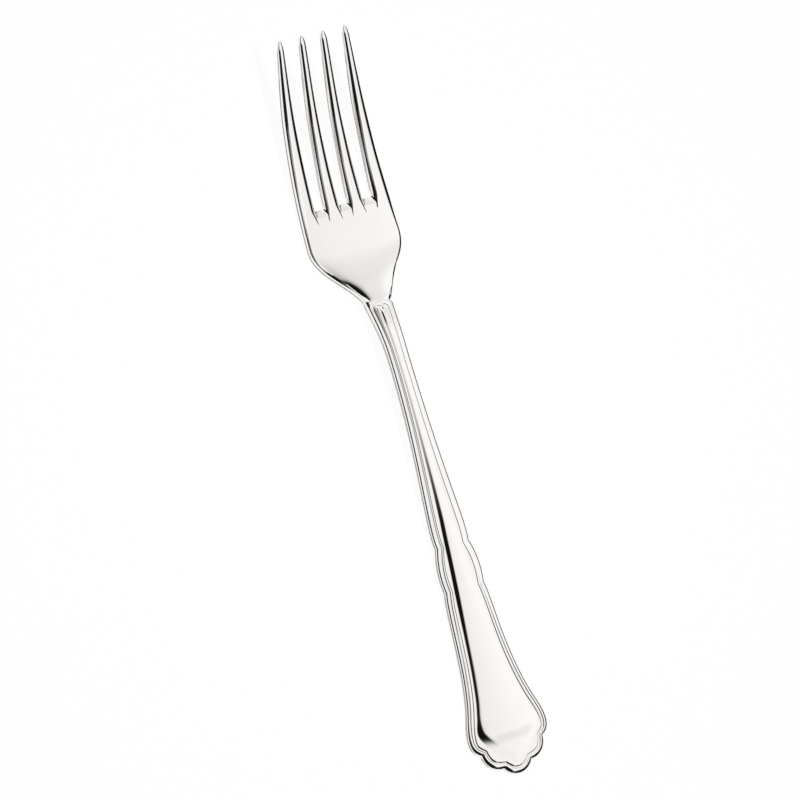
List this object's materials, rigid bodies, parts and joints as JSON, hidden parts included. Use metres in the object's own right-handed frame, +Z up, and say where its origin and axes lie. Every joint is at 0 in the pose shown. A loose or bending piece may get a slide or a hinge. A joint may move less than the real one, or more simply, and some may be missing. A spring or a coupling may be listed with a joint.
{
  "type": "serving fork",
  "caption": "Polished steel serving fork with a dished head, tapered tines that curve up, and a flared handle with a scalloped end and a raised threaded border.",
  "frame": {"origin": "under the middle of the fork's length, on the plane of symmetry, at the height of the table it lies on", "axes": "+Y from the handle's end to the tine tips, +X to the right seen from above, +Z up out of the hollow face"},
  "size_m": [0.0314, 0.24, 0.0204],
  "materials": {
    "polished_steel": "mirror-polished stainless steel with fine polishing marks"
  },
  "bodies": {
    "root": {"fork": "polished_steel"}
  },
  "joints": []
}
